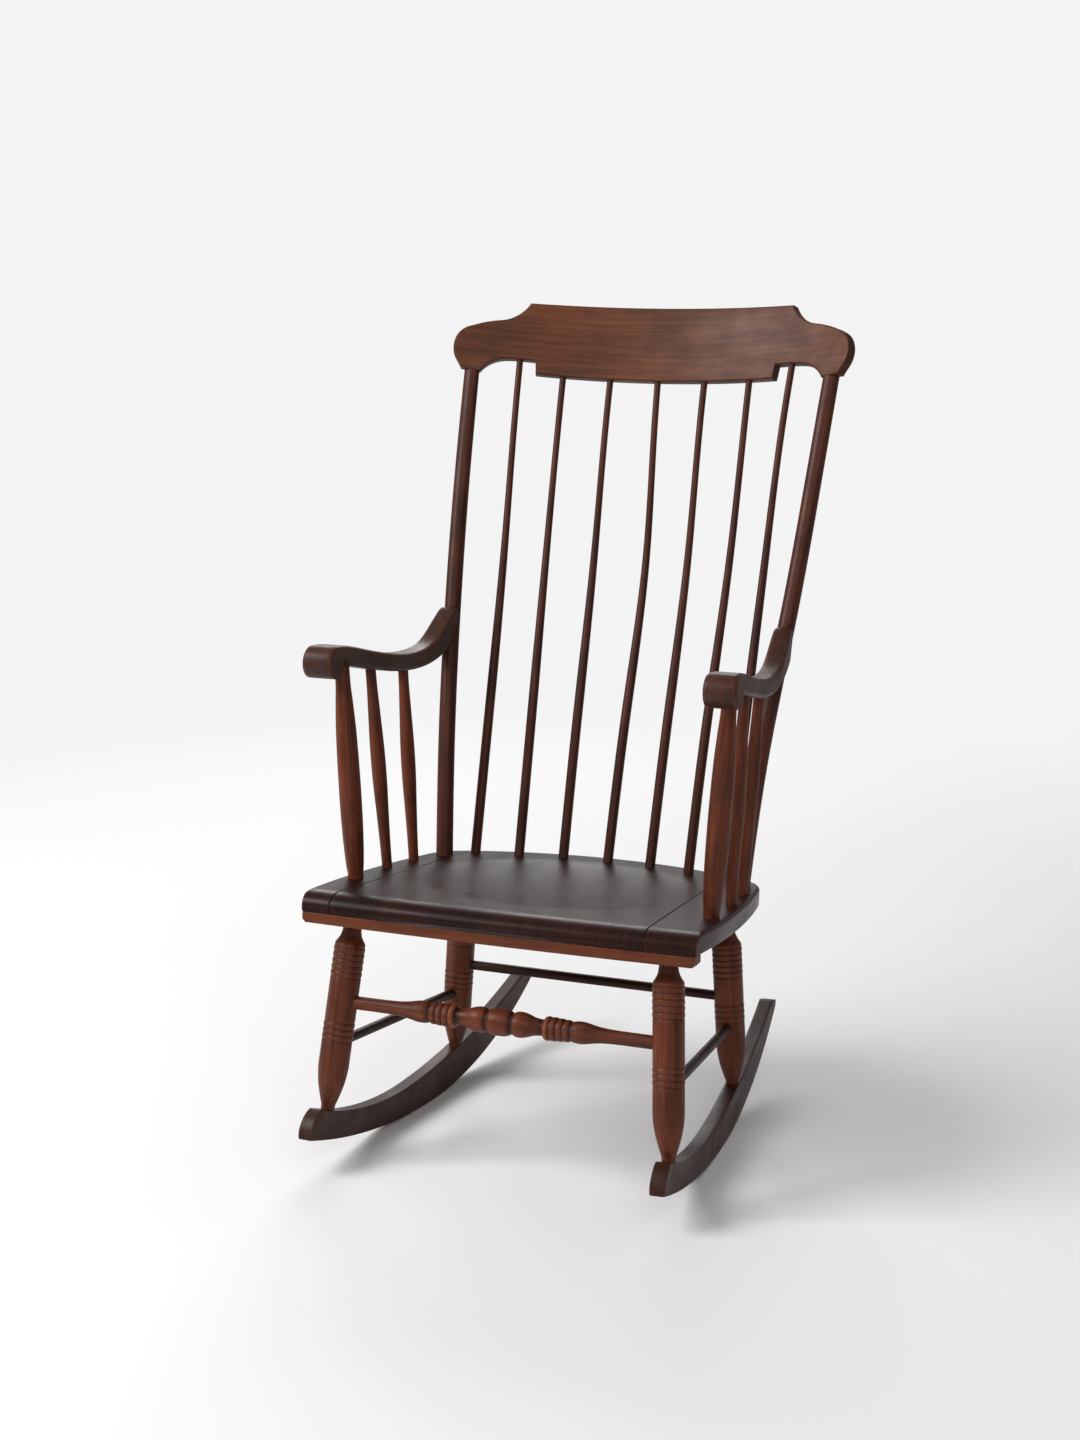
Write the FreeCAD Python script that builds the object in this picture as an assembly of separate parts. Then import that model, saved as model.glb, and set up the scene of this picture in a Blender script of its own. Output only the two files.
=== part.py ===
"""A rocking chair with a rolled plank seat, turned legs and a bent crest rail.

Millimetres, +Z up, the sitter faces -Y. The origin lies on the floor below
the middle of the chair's depth, and the chair stands on the lowest point of
its two rockers.
"""
import FreeCAD
import Part
import math
import os

V = FreeCAD.Vector

# Fits
GLUE_CLEARANCE = 0.1        # round tenon in its bore, on the radius
END_GAP = 0.4               # end of a tenon to the bottom of its bore
SHOULDER_GAP = 0.05         # a scribed shoulder to the wood it meets
BOARD_JOINT_GAP = 0.1       # between two boards of the seat

# Seat plank
SEAT_THICKNESS = 26.0
SEAT_FRONT_Y = -292.0       # middle of the front edge, on the upper face
SEAT_FRONT_Z = 363.2
SEAT_TILT = 4.7             # degrees, down to the back
FRONT_BOW = 7.0             # how far the front edge bulges in the middle
FRONT_HALF_WIDTH = 265.0
FRONT_ROLL_RADIUS = 17.0
SEAT_DEPTH = 441.0
SEAT_CORNER_RADIUS = 75.0   # rear corners, seen from above
SEAT_EDGE_CHAMFER = 4.0
DISH_HALF_WIDTH = 192.0
DISH_HALF_DEPTH = 163.0
DISH_CENTRE = 233.0         # from the front edge
DISH_DEEP = 9.0
LEFT_JOINT = (-226.0, -202.0)   # x of the board joint at the front edge and beside the rear leg, clear of its bore
RIGHT_JOINT = (199.0, 179.6)
STRIP_THICKNESS = 14.0
STRIP_WIDTH = 22.0
STRIP_END_CHAMFER = 4.0

ORIGIN_SHIFT = -5.67         # puts the origin below the middle of the finished chair's depth

# Rockers
ROCKER_FRONT_RADIUS = 958.0     # of the running edge, before and behind its lowest point
ROCKER_REAR_RADIUS = 567.0
ROCKER_THICKNESS = 20.0
ROCKER_CONTACT = 254.0      # lowest point, from the front leg along the rocker, under the centre of mass
ROCKER_EDGE_CHAMFER = 1.5

# Legs: centre of the foot and of the neck under the seat, right-hand side
FRONT_FOOT = V(233.8, -287.0, 70.0)
FRONT_NECK = V(213.6, -237.7, 333.0)
REAR_FOOT = V(207.5, 55.0, 48.0)
REAR_NECK = V(191.0, 57.6, 309.0)
FRONT_SHOULDER = 219.0      # widest place below the neck, from the foot
REAR_SHOULDER = 199.0
FRONT_NECK_RADIUS = 11.0
REAR_NECK_RADIUS = 9.2
LEG_RADIUS = 20.3
FOOT_RADIUS = 8.6
FOOT_TENON_RADIUS = 5.5
FOOT_TENON_LENGTH = 24.0
RING_PITCH = 8.0
RING_DEPTH = 1.3
LOWER_RINGS = 3
UPPER_RINGS = 5
SEAT_BORE_DEPTH = 18.0

# Stretchers, as heights above the floor
FRONT_STRETCHER_HEIGHT = 213.7
REAR_STRETCHER_HEIGHT = 175.8
SIDE_STRETCHER_FRONT = 159.1
SIDE_STRETCHER_REAR = 135.6
FRONT_STRETCHER_END_RADIUS = 8.6
PLAIN_STRETCHER_RADIUS = 6.6
STRETCHER_TENON = 14.0      # past the leg's surface, towards its axis

# Back
CREST_BEND = 690.0          # radius of the front face
CREST_THICKNESS = 16.0
CREST_LEAN = 20.8           # degrees back from upright
CREST_CENTRE = V(0.0, 321.8, 1040.0)
POST_BASE_RADIUS = 11.8
POST_TOP_RADIUS = 11.2
POST_TAPER = POST_BASE_RADIUS - POST_TOP_RADIUS
POST_TENON_RADIUS = 5.5
POST_TENON_LENGTH = 26.0
POST_FLATTENING = 4         # higher keeps the flattening nearer to the crest
SPINDLE_BASE_RADIUS = 7.0
SPINDLE_TOP_RADIUS = 4.6
CREST_BORE_DEPTH = 18.0
STICK_STATIONS = 6          # sections along a bent stick

# Arms
ARM_BORE_DEPTH = 13.0
ARM_POST_BASE_RADIUS = 10.2
ARM_POST_TOP_RADIUS = 9.6
ARM_SPINDLE_END_RADIUS = 6.9
ARM_END_HEIGHT = 645.0      # where the arm meets the post

UP = V(0, 0, 1)
SEAT_PLACE = FreeCAD.Placement(V(0, SEAT_FRONT_Y, SEAT_FRONT_Z), FreeCAD.Rotation(V(1, 0, 0), -SEAT_TILT))
CREST_PLACE = FreeCAD.Placement(CREST_CENTRE, FreeCAD.Rotation(V(1, 0, 0), -CREST_LEAN))

# Right-hand centre lines: foot on the seat as x and y, points between as x, y and z,
# head in the crest as x and its distance above the crest's middle
POST_LINE = ((217.0, 46.0), (228.5, 82.0, 500.0), (247.0, 151.0, 700.0), (257.5, 204.5, 850.0), (265.6, -63.2))
OUTER_LINE = ((187.6, 87.0), (188.5, 138.0, 520.0), (193.2, 207.0, 750.0), (199.8, 267.0, 955.0), (202.5, -39.0))
SECOND_LINE = ((125.5, 98.0), (129.5, 154.0, 520.0), (136.6, 228.0, 750.0), (138.6, 280.0, 935.0), (139.0, -58.4))
THIRD_LINE = ((64.5, 113.0), (67.0, 172.0, 520.0), (70.0, 246.0, 750.0), (70.3, 289.5, 930.0), (70.4, -58.0))
MIDDLE_LINE = ((0.0, 119.0), (2.0, 180.0, 520.0), (5.0, 253.0, 740.0), (1.5, 294.0, 930.0), (0.0, -57.5))

# Foot on the seat and head in the arm, right-hand side
ARM_POST_LINE = ((246.0, -171.0), (264.4, -165.6, 640.0))
ARM_SPINDLE_FRONT_LINE = ((243.6, -82.0), (259.6, -92.0, 621.0))
ARM_SPINDLE_REAR_LINE = ((237.0, -12.5), (252.6, -7.0, 606.0))


def mirrored(shape):
    """The same piece for the other side of the chair."""
    return shape.mirror(V(0, 0, 0), V(1, 0, 0))


def both_sides(shapes):
    return shapes + [mirrored(shape) for shape in shapes]


def seat_height(y):
    """Height of the flat upper face of the seat."""
    return SEAT_FRONT_Z - (y - SEAT_FRONT_Y) * math.tan(math.radians(SEAT_TILT))


def spline(points):
    curve = Part.BSplineCurve()
    curve.interpolate(points)
    return curve


def outline(runs):
    """A closed wire from runs of points: ("arc", three points) or ("line", points)."""
    edges = []
    for index, (kind, points) in enumerate(runs):
        if kind == "arc":
            edges.append(Part.Arc(*points).toShape())
        else:
            edges += [Part.makeLine(a, b) for a, b in zip(points, points[1:])]
        following = runs[(index + 1) % len(runs)][1][0]
        if points[-1].distanceToPoint(following) > 1e-6:
            edges.append(Part.makeLine(points[-1], following))
    return Part.Wire(edges)


def turned(cuts, foot, head):
    """A turning: cuts of (distance, radius) revolved about the line foot to head."""
    profile = [V(radius, 0, along) for along, radius in cuts]
    loop = [V(0, 0, cuts[0][0])] + profile + [V(0, 0, cuts[-1][0]), V(0, 0, cuts[0][0])]
    solid = Part.Face(Part.makePolygon(loop)).revolve(V(0, 0, 0), UP, 360)
    solid.Placement = FreeCAD.Placement(foot, FreeCAD.Rotation(UP, head - foot))
    return solid


def rings(start, count, radius):
    """Beads cut one beside the other with a pointed tool."""
    cuts = []
    for bead in range(count):
        low = start + bead * RING_PITCH
        cuts += [(low, radius - RING_DEPTH), (low + RING_PITCH / 2, radius)]
    return cuts + [(start + count * RING_PITCH, radius - RING_DEPTH)]


def rod(start, direction, radius, length):
    return Part.makeCylinder(radius, length, start, direction)


def socket(mouth, direction, radius, depth):
    """The bore for a round end, open for 12 mm on the outside."""
    way = V(direction).normalize()
    return rod(mouth - way * 12, way, radius + GLUE_CLEARANCE, depth + 12 + END_GAP)


def seat_outline(w):
    """Seat seen from above: bowed front, sides drawing in, curved back."""
    def at(x, v):
        return V(x, v, w)

    front, back = (FRONT_HALF_WIDTH, FRONT_BOW), (236, 371)
    return outline([
        ("arc", [at(-front[0], front[1]), at(0, 0), at(*front)]),
        ("arc", [at(*front), at(260.5, 215), at(*back)]),
        ("arc", [at(*back), at(0, SEAT_DEPTH), at(-back[0], back[1])]),
        ("arc", [at(-back[0], back[1]), at(-260.5, 215), at(-front[0], front[1])]),
    ])


def dish():
    """A shallow elliptical bowl: one parabolic patch, carried up to clear the wood."""
    spread = 1.1
    rise = DISH_DEEP * spread ** 2
    patch = Part.BezierSurface()
    patch.increase(2, 2)
    across = ((-DISH_HALF_WIDTH * spread, rise), (0, -rise), (DISH_HALF_WIDTH * spread, rise))
    along = ((-DISH_HALF_DEPTH * spread, rise), (0, -rise), (DISH_HALF_DEPTH * spread, rise))
    for column, (x, lift_x) in enumerate(across, start=1):
        for row, (v, lift_v) in enumerate(along, start=1):
            patch.setPole(column, row, V(x, DISH_CENTRE + v, lift_x + lift_v - DISH_DEEP))
    return patch.toShape().extrude(UP * SEAT_THICKNESS)


def seat_blank():
    """The whole plank before it is divided into its three boards, in its own flat frame."""
    plank = Part.Face(seat_outline(-SEAT_THICKNESS)).extrude(V(0, 0, SEAT_THICKNESS))
    corners = [edge for edge in plank.Edges if edge.BoundBox.ZLength > 1 and edge.BoundBox.YMin > 100]
    plank = plank.makeFillet(SEAT_CORNER_RADIUS, corners)
    rim = [edge for edge in plank.Edges if edge.BoundBox.YMax > 100 and edge.BoundBox.ZLength < 1]
    plank = plank.makeChamfer(SEAT_EDGE_CHAMFER, rim)
    roll = [edge for edge in plank.Edges if edge.BoundBox.YMax < FRONT_BOW + 1 and edge.BoundBox.ZMin > -1]
    plank = plank.makeFillet(FRONT_ROLL_RADIUS, roll)
    return plank.cut(dish())


def board_region(left, right):
    """Block that keeps the part of the plank between two joint lines, carried on past front and back."""
    gap = BOARD_JOINT_GAP / 2
    beside_leg = REAR_NECK.y - SEAT_FRONT_Y
    low = -SEAT_THICKNESS - 10

    def on_line(joint, shift, v):
        return V(joint[0] + shift + (joint[1] - joint[0]) * v / beside_leg, v, low)

    ahead, behind = -0.1 * SEAT_DEPTH, 1.1 * SEAT_DEPTH
    loop = [on_line(left, gap, ahead), on_line(right, -gap, ahead), on_line(right, -gap, behind),
            on_line(left, gap, behind)]
    return Part.Face(Part.makePolygon(loop + loop[:1])).extrude(V(0, 0, SEAT_THICKNESS + 20))


def front_strip():
    """Flat strip glued under the front edge, bowed like the seat."""
    edge = FRONT_HALF_WIDTH - 1
    low = -SEAT_THICKNESS - STRIP_THICKNESS
    points = [V(-edge, FRONT_BOW, low), V(0, 0, low), V(edge, FRONT_BOW, low)]
    inner = [point + V(0, STRIP_WIDTH, 0) for point in reversed(points)]
    wire = Part.Wire([
        Part.Arc(*points).toShape(),
        Part.makeLine(points[-1], inner[0]),
        Part.Arc(*inner).toShape(),
        Part.makeLine(inner[-1], points[0]),
    ])
    strip = Part.Face(wire).extrude(V(0, 0, STRIP_THICKNESS - SHOULDER_GAP))
    ends = [e for e in strip.Edges if abs(abs(e.CenterOfMass.x) - edge) < 1 and abs(e.CenterOfMass.z - low) < 1]
    strip = strip.makeChamfer(STRIP_END_CHAMFER, ends)
    strip.Placement = SEAT_PLACE
    return strip


def rocker_frame():
    """Upright frame of the right-hand rocker: x along it to the back, z up, y across."""
    along = V(REAR_FOOT.x - FRONT_FOOT.x, REAR_FOOT.y - FRONT_FOOT.y, 0)
    across = UP.cross(along)
    return FreeCAD.Placement(V(FRONT_FOOT.x, FRONT_FOOT.y, 0), FreeCAD.Rotation(along, across, UP, "ZXY"))


def running_edge(s):
    """Height of the curved running edge: two arcs that meet at the lowest point."""
    radius = ROCKER_FRONT_RADIUS if s < ROCKER_CONTACT else ROCKER_REAR_RADIUS
    return radius - math.sqrt(radius ** 2 - (s - ROCKER_CONTACT) ** 2)


def rocker_blank(thickness):
    """Side outline of the rocker, as heights above its running edge: scooped on top, with a round nose."""
    def above(s, height):
        return V(s, -thickness / 2, running_edge(s) + height)

    lowest = above(ROCKER_CONTACT, 0)
    wire = outline([
        ("arc", [above(-55.5, 0), above(60, 0), lowest]),
        ("arc", [lowest, above(430, 0), above(577, 0)]),
        ("arc", [above(549, 26.7), above(400, 47.9), above(200, 40.7)]),
        ("arc", [above(200, 40.7), above(100, 35.8), above(-26, 41.5)]),
        ("arc", [above(-26, 41.5), above(-46, 24.5), above(-55.5, 0)]),
    ])
    return Part.Face(wire).extrude(V(0, thickness, 0))


def rocker():
    blank = rocker_blank(ROCKER_THICKNESS)
    long_edges = [edge for edge in blank.Edges if edge.BoundBox.YLength < 1 and edge.BoundBox.XLength > 40]
    blank = blank.makeChamfer(ROCKER_EDGE_CHAMFER, long_edges)
    blank.Placement = rocker_frame()
    return blank


def scribing():
    """Cutter that shapes a leg's foot to the upper edge of the rocker."""
    blank = rocker_blank(4 * FOOT_RADIUS)
    blank.Placement = rocker_frame()
    return blank.translated(UP * SHOULDER_GAP)


def leg(foot, neck, shoulder, neck_radius):
    """Vase-turned leg with two groups of beads; distances run up from the foot."""
    length = (neck - foot).Length
    lower = 96.0
    upper = shoulder - UPPER_RINGS * RING_PITCH
    body = LEG_RADIUS - 0.4
    ankle = [(-6, FOOT_RADIUS), (9, FOOT_RADIUS + 0.4), (16, 11.0), (25, 13.6), (37, 16.8), (50, 18.9), (64, body),
             (lower - 2, body)]
    between = [(lower + LOWER_RINGS * RING_PITCH + 2, body), (upper - 2, body)]
    vase = [(shoulder + 3, body), (shoulder + 8, 16.6), (shoulder + 15, 13.3), (shoulder + 27, neck_radius + 0.6),
            (shoulder + 36, neck_radius), (length + SEAT_BORE_DEPTH, neck_radius)]
    beads = rings(lower, LOWER_RINGS, LEG_RADIUS)
    return turned(ankle + beads + between + rings(upper, UPPER_RINGS, LEG_RADIUS) + vase, foot, neck)


def point_at_height(foot, head, z):
    return foot + (head - foot) * ((z - foot.z) / (head.z - foot.z))


def front_stretcher(end):
    """Turned front stretcher, symmetrical about its ball, lying along x."""
    stem = FRONT_STRETCHER_END_RADIUS
    ball = [(3, 17.6), (11, 16.3), (17, 13.4)]
    bead = [(22, 15.8), (28, 16.4), (36, 15.0), (48, 11.1), (57, 10.4)]
    small_beads = [(64.5, 15.5), (68.5, 14.0), (73, 15.1), (77.5, 13.7), (82, 14.6), (86.5, 13.2), (91, 13.9),
                   (96.5, 12.3)]
    swelling = [(104, 13.9), (112, 13.8), (132, 10.1), (160, stem), (end.x, stem)]
    half = ball + bead + small_beads + swelling
    other = [(-along, radius) for along, radius in reversed(half)]
    return turned(other + half, V(0, end.y, end.z), end)


def plain_stretcher(start, end, radius=PLAIN_STRETCHER_RADIUS):
    return rod(start, end - start, radius, (end - start).Length)


def on_seat(x, y):
    return V(x, y, seat_height(y))


def in_crest(x, height):
    """Point half-way through the crest, beside its middle and above its centre."""
    middle = CREST_BEND + CREST_THICKNESS / 2
    back = math.sqrt(middle ** 2 - x ** 2) - CREST_BEND
    return CREST_PLACE.multVec(V(x, back, height))


def back_line(line):
    """Centre line of a post or spindle from the seat to the crest."""
    return [on_seat(*line[0])] + [V(*point) for point in line[1:-1]] + [in_crest(*line[-1])]


def stations(line):
    """Evenly spaced places along a bent centre line: part of the way, point and direction."""
    curve = spline(line)
    low, high = curve.FirstParameter, curve.LastParameter
    places = []
    for number in range(STICK_STATIONS):
        part = number / (STICK_STATIONS - 1)
        at = low + (high - low) * part
        places.append((part, curve.value(at), V(*curve.tangent(at)[0])))
    return places


def bent_stick(line, radius_at):
    """A round stick along a bent centre line; radius_at takes the part of the way up."""
    circles = [Part.makeCircle(radius_at(part), point, way) for part, point, way in stations(line)]
    return Part.makeLoft([Part.Wire(circle) for circle in circles], True, True)


CREST_TOP = [(-197.7, 46.0), (0.0, 49.5), (197.7, 46.0)]
CREST_SHOULDER = [(197.7, 46.0), (212.0, 28.0), (236.0, 16.2)]
CREST_EAR = [(236.0, 16.2), (258.0, 10.7), (277.0, 3.0)]
CREST_TIP = [(277.0, 3.0), (299.3, -22.0), (292.0, -49.0)]
CREST_NECK = [(257.5, -63.0), (243.0, -48.0), (222.0, -40.5)]
CREST_STEP = [(198.0, -39.0), (180.0, -39.0), (177.5, -58.5)]
CREST_EAR_FOOT = (284.0, -61.0)


def crest_wire(distance):
    """The crest's outline, drawn flat, seen from the axis of the bend at a distance."""
    def seen(points):
        return [V(distance * math.tan(s / CREST_BEND), distance - CREST_BEND, v) for s, v in points]

    def other(points):
        return [(-s, v) for s, v in reversed(points)]

    right = [("arc", CREST_SHOULDER), ("arc", CREST_EAR), ("arc", CREST_TIP), ("line", [CREST_EAR_FOOT]),
             ("arc", CREST_NECK), ("line", CREST_STEP)]
    left = [(kind, other(points)) for kind, points in reversed(right)]
    return outline([(kind, seen(points)) for kind, points in [("arc", CREST_TOP)] + right + left])


def crest_rail():
    """Steam-bent plank: the flat outline cut square to the bent faces."""
    sawn = Part.makeLoft([crest_wire(CREST_BEND - 75), crest_wire(CREST_BEND + CREST_THICKNESS + 4)], True, True)
    axis = V(0, -CREST_BEND, -90)
    outside = Part.makeCylinder(CREST_BEND + CREST_THICKNESS, 180, axis, UP, 180)
    inside = Part.makeCylinder(CREST_BEND, 200, axis - UP * 10, UP)
    rail = sawn.common(outside.cut(inside))
    rail.Placement = CREST_PLACE.multiply(rail.Placement)
    return rail


def post_body():
    """Bent post, round at the seat and flattened at the top to the thickness of the crest."""
    sections = []
    for part, point, way in stations(back_line(POST_LINE)):
        radius = POST_BASE_RADIUS - part * POST_TAPER
        flat = radius - (radius - CREST_THICKNESS / 2) * part ** POST_FLATTENING
        across = V(0, 1, 0).cross(way).normalize()
        facing = way.cross(across)
        sections.append(Part.Wire(Part.Ellipse(point + across * radius, point + facing * flat, point).toShape()))
    return Part.makeLoft(sections, True, True)


def end_direction(line, at_head):
    """Direction in which a stick leaves its centre line at either end."""
    curve = spline(line)
    if at_head:
        return V(*curve.tangent(curve.LastParameter)[0])
    return V(*curve.tangent(curve.FirstParameter)[0]) * -1


def seat_end(line, radius):
    """Foot of a stick carried on into its bore in the seat at its full radius."""
    return rod(line[0], end_direction(line, False), radius, SEAT_BORE_DEPTH)


def seat_bore(line, radius):
    return socket(line[0], end_direction(line, False), radius, SEAT_BORE_DEPTH)


def spindle_waist(part):
    """Radius along a back spindle: stout to a third of its height, then tapering."""
    stout = SPINDLE_BASE_RADIUS - 0.3 * min(1, part / 0.33)
    taper = max(0.0, (part - 0.33) / 0.47)
    ease = min(1.0, taper)
    return stout - (SPINDLE_BASE_RADIUS - 0.3 - SPINDLE_TOP_RADIUS) * ease


def back_spindle(line):
    points = back_line(line)
    stick = bent_stick(points, spindle_waist).fuse(seat_end(points, SPINDLE_BASE_RADIUS))
    return stick.fuse(rod(points[-1], end_direction(points, True), SPINDLE_TOP_RADIUS, CREST_BORE_DEPTH))


def crest_bore(line, radius, depth):
    points = back_line(line)
    return socket(points[-1], end_direction(points, True), radius, depth)


def arm_inner(y):
    return 248.5 - 0.0467 * (y + 228)


def arm_outer(y):
    return 292.5 - 0.1008 * (y + 228)


ARM_SIDE = [
    ("arc", [(-204, 667.5), (-190, 666.3), (-170, 662.9)]),
    ("arc", [(-98, 645), (-35, 632.3), (29, 628.5)]),
    ("arc", [(29, 628.5), (56, 632.4), (80, 643.6)]),
    ("line", [(115, 668.5), (134.7, 668.5)]),
    ("arc", [(119.7, 625), (70, 607.8), (29, 603.5)]),
    ("arc", [(29, 603.5), (-20, 606), (-71, 614)]),
    ("arc", [(-168, 635.8), (-181, 640), (-191, 647)]),
    ("arc", [(-191, 647), (-190.2, 633.2), (-206, 625)]),
    ("arc", [(-206, 625), (-227.4, 642), (-204, 667.5)]),
]


def arm():
    """Right-hand arm, sawn to its side outline and to its plan, with a rolled front end."""
    runs = [(kind, [V(0, y, z) for y, z in points]) for kind, points in ARM_SIDE]
    profile = Part.Face(outline(runs)).extrude(V(400, 0, 0))
    ahead, behind = -240, 150
    plan = [V(arm_inner(ahead), ahead, 560), V(arm_outer(ahead), ahead, 560),
            V(arm_outer(behind), behind, 560), V(arm_inner(behind), behind, 560)]
    return profile.common(Part.Face(Part.makePolygon(plan + plan[:1])).extrude(V(0, 0, 150)))


def arm_post():
    """Stout vase turning under the scroll of the arm."""
    foot, head = on_seat(*ARM_POST_LINE[0]), V(*ARM_POST_LINE[1])
    length = (head - foot).Length
    low, high = ARM_POST_BASE_RADIUS, ARM_POST_TOP_RADIUS
    cuts = [(-SEAT_BORE_DEPTH, low), (4, low), (18, 11.7), (44, 13.3), (84, 14.4), (146, 14.4), (194, 13.6),
            (232, 12.0), (262, high), (length + ARM_BORE_DEPTH, high)]
    return turned(cuts, foot, head)


def arm_spindle(line):
    """Slender vase turning between the seat and the arm."""
    foot, head = on_seat(*line[0]), V(*line[1])
    length = (head - foot).Length
    end = ARM_SPINDLE_END_RADIUS
    cuts = [(-SEAT_BORE_DEPTH, end), (12, end), (0.27 * length, 8.2), (0.44 * length, 9.6), (0.6 * length, 9.6),
            (0.77 * length, 8.2), (length - 16, end), (length + ARM_BORE_DEPTH, end)]
    return turned(cuts, foot, head)


def arm_cope():
    """Cutter that hollows the end of the arm to the part of the post it meets."""
    points = [point for _, point, _ in stations(back_line(POST_LINE))]
    below = max((point for point in points if point.z < ARM_END_HEIGHT), key=lambda point: point.z)
    above = min((point for point in points if point.z >= ARM_END_HEIGHT), key=lambda point: point.z)
    return rod(below, above - below, POST_BASE_RADIUS, (above - below).Length)


def largest(shape):
    return max(shape.Solids, key=lambda solid: solid.Volume)


def scribed_leg(foot, neck, shoulder, neck_radius, bores):
    """A leg scribed on to its rocker, with its tenon and the bores for the stretchers."""
    down = (foot - neck).normalize()
    scribed = leg(foot, neck, shoulder, neck_radius).cut(scribing())
    tenon = rod(foot - down * 12, down, FOOT_TENON_RADIUS, FOOT_TENON_LENGTH + 12)
    return largest(scribed).fuse(tenon).cut(bores).removeSplitter()


def undercarriage():
    """Rockers, legs and stretchers, and the bores the legs need in the seat."""
    parts = {}
    runner = rocker()
    front_top = point_at_height(FRONT_FOOT, FRONT_NECK, FRONT_STRETCHER_HEIGHT)
    rear_top = point_at_height(REAR_FOOT, REAR_NECK, REAR_STRETCHER_HEIGHT)
    front_side = point_at_height(FRONT_FOOT, FRONT_NECK, SIDE_STRETCHER_FRONT)
    rear_side = point_at_height(REAR_FOOT, REAR_NECK, SIDE_STRETCHER_REAR)
    backward = (rear_side - front_side).normalize()
    inward = V(-1, 0, 0)
    reach = LEG_RADIUS - STRETCHER_TENON

    def bore(axis, way, radius):
        return socket(axis + way * LEG_RADIUS, way * -1, radius, STRETCHER_TENON)

    front_bores = bore(front_top, inward, FRONT_STRETCHER_END_RADIUS).fuse(
        bore(front_side, backward, PLAIN_STRETCHER_RADIUS))
    rear_bores = bore(rear_top, inward, PLAIN_STRETCHER_RADIUS).fuse(
        bore(rear_side, backward * -1, PLAIN_STRETCHER_RADIUS))
    front_leg = scribed_leg(FRONT_FOOT, FRONT_NECK, FRONT_SHOULDER, FRONT_NECK_RADIUS, front_bores)
    rear_leg = scribed_leg(REAR_FOOT, REAR_NECK, REAR_SHOULDER, REAR_NECK_RADIUS, rear_bores)
    for foot, neck in ((FRONT_FOOT, FRONT_NECK), (REAR_FOOT, REAR_NECK)):
        runner = runner.cut(socket(foot, foot - neck, FOOT_TENON_RADIUS, FOOT_TENON_LENGTH))

    side = plain_stretcher(front_side + backward * reach, rear_side - backward * reach)
    parts["front_stretcher"] = front_stretcher(front_top + inward * reach)
    rear_end = rear_top + inward * reach
    parts["rear_stretcher"] = plain_stretcher(V(-rear_end.x, rear_end.y, rear_end.z), rear_end)
    pairs = {"rocker": runner, "leg_front": front_leg, "leg_rear": rear_leg, "side_stretcher": side}
    bores = [socket(FRONT_NECK, FRONT_NECK - FRONT_FOOT, FRONT_NECK_RADIUS, SEAT_BORE_DEPTH),
             socket(REAR_NECK, REAR_NECK - REAR_FOOT, REAR_NECK_RADIUS, SEAT_BORE_DEPTH)]
    return parts, pairs, both_sides(bores)


def back_and_arms():
    """Everything above the seat, with the bores it needs in the seat."""
    parts = {}
    rail = crest_rail()
    post_line = back_line(POST_LINE)
    into_crest = end_direction(post_line, True)
    tenon = rod(post_line[-1] - into_crest * 8, into_crest, POST_TENON_RADIUS, POST_TENON_LENGTH + 8)
    post = post_body().fuse(tenon).fuse(seat_end(post_line, POST_BASE_RADIUS))

    lines = {1: OUTER_LINE, 2: SECOND_LINE, 3: THIRD_LINE}
    bores = [seat_bore(post_line, POST_BASE_RADIUS)]
    crest_bores = [crest_bore(POST_LINE, POST_TENON_RADIUS, POST_TENON_LENGTH)]
    for number, line in lines.items():
        spindle = back_spindle(line)
        parts["back_spindle_%d" % number] = mirrored(spindle)
        parts["back_spindle_%d" % (8 - number)] = spindle
        bores.append(seat_bore(back_line(line), SPINDLE_BASE_RADIUS))
        crest_bores.append(crest_bore(line, SPINDLE_TOP_RADIUS, CREST_BORE_DEPTH))
    parts["back_spindle_4"] = back_spindle(MIDDLE_LINE)
    middle_bore = crest_bore(MIDDLE_LINE, SPINDLE_TOP_RADIUS, CREST_BORE_DEPTH)
    parts["crest_rail"] = rail.cut(Part.makeCompound(both_sides(crest_bores) + [middle_bore]))

    rest = arm().cut(arm_cope())
    ends = ((ARM_POST_LINE, ARM_POST_BASE_RADIUS, ARM_POST_TOP_RADIUS),
            (ARM_SPINDLE_FRONT_LINE, ARM_SPINDLE_END_RADIUS, ARM_SPINDLE_END_RADIUS),
            (ARM_SPINDLE_REAR_LINE, ARM_SPINDLE_END_RADIUS, ARM_SPINDLE_END_RADIUS))
    for line, foot_radius, head_radius in ends:
        foot, head = on_seat(*line[0]), V(*line[1])
        bores.append(socket(foot, foot - head, foot_radius, SEAT_BORE_DEPTH))
        rest = rest.cut(socket(head, head - foot, head_radius, ARM_BORE_DEPTH))
    pairs = {"back_post": post, "arm": rest, "arm_post": arm_post(),
             "arm_spindle_front": arm_spindle(ARM_SPINDLE_FRONT_LINE),
             "arm_spindle_rear": arm_spindle(ARM_SPINDLE_REAR_LINE)}
    middle_bore = seat_bore(back_line(MIDDLE_LINE), SPINDLE_BASE_RADIUS)
    return parts, pairs, both_sides(bores) + [middle_bore]


def seat(bores):
    """Three boards bored for all the sticks, and the front strip."""
    plank = seat_blank()
    plank.Placement = SEAT_PLACE
    plank = plank.cut(Part.makeCompound(bores))
    regions = {
        "seat_left_board": board_region((-300.0, -300.0), LEFT_JOINT),
        "seat_centre_board": board_region(LEFT_JOINT, RIGHT_JOINT),
        "seat_right_board": board_region(RIGHT_JOINT, (300.0, 300.0)),
    }
    parts = {}
    for name, region in regions.items():
        region.Placement = SEAT_PLACE
        parts[name] = largest(plank.common(region))
    parts["seat_front_strip"] = front_strip()
    return parts


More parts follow.
